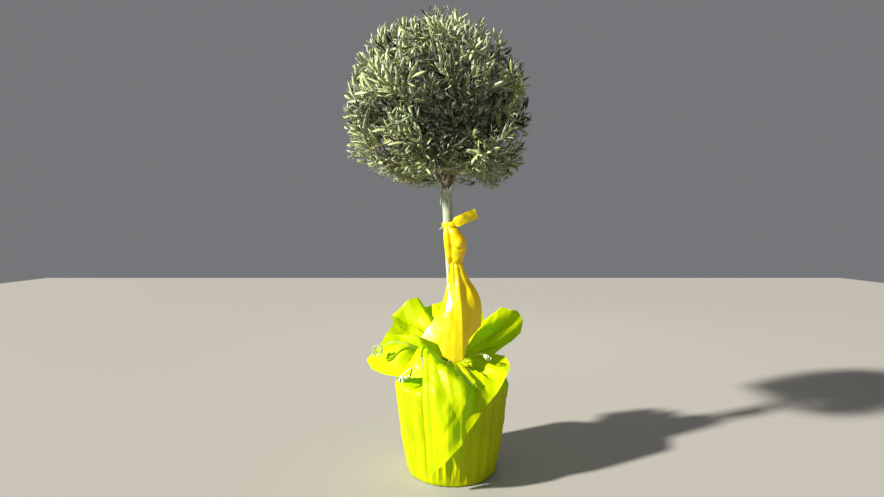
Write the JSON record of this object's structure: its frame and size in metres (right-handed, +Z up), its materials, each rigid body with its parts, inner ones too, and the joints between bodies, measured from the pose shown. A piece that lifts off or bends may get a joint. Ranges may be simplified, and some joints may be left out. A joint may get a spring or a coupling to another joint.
{
  "type": "potted olive tree",
  "caption": "Small standard olive tree with a rounded crown on a bare stem, in a pot wrapped in gathered lime film with a ribbon.",
  "frame": {"origin": "centre of the flat underside of the wrapped pot, on the pot's axis", "axes": "+Z up along the stem, -Y towards the front, where the film's long flap and the ribbon are, +X to the right"},
  "size_m": [0.5328, 0.5263, 1.3456],
  "materials": {
    "bark": "matt grey-brown bark, reddish brown where it is in the crown's shade",
    "foliage": "narrow leathery leaves, grey-green above and silvery below, with a soft sheen",
    "pot": "dark moulded nursery pot",
    "soil": "dark crumbly potting compost",
    "film": "translucent lime gift film with crisp creases and a satin gloss",
    "tie": "pale curling ribbon",
    "stem_film": "pale grey-green film with long creases",
    "ribbon": "smooth yellow ribbon with a satin sheen"
  },
  "bodies": {
    "root": {"bough_high_1": "bark", "bough_high_2": "bark", "bough_high_3": "bark", "bough_high_4": "bark", "bough_low_1": "bark", "bough_low_2": "bark", "bough_low_3": "bark", "bough_low_4": "bark", "bough_low_5": "bark", "bough_low_6": "bark", "bough_middle_1": "bark", "bough_middle_2": "bark", "bough_middle_3": "bark", "bough_middle_4": "bark", "bough_middle_5": "bark", "bough_middle_6": "bark", "bough_top": "bark", "film_flap_front": "film", "film_lobe_back": "film", "film_lobe_back_left": "film", "film_lobe_back_right": "film", "film_lobe_front_left": "film", "film_lobe_left": "film", "film_lobe_right": "film", "film_skirt": "film", "film_tie": "tie", "foliage_high_1": "foliage", "foliage_high_2": "foliage", "foliage_high_3": "foliage", "foliage_high_4": "foliage", "foliage_low_1": "foliage", "foliage_low_2": "foliage", "foliage_low_3": "foliage", "foliage_low_4": "foliage", "foliage_low_5": "foliage", "foliage_low_6": "foliage", "foliage_middle_1": "foliage", "foliage_middle_2": "foliage", "foliage_middle_3": "foliage", "foliage_middle_4": "foliage", "foliage_middle_5": "foliage", "foliage_middle_6": "foliage", "foliage_top": "foliage", "pot": "pot", "ribbon_drape": "ribbon", "ribbon_end": "ribbon", "ribbon_knot": "ribbon", "ribbon_loop": "ribbon", "soil": "soil", "stem_wrap": "stem_film", "trunk": "bark"}
  },
  "joints": []
}
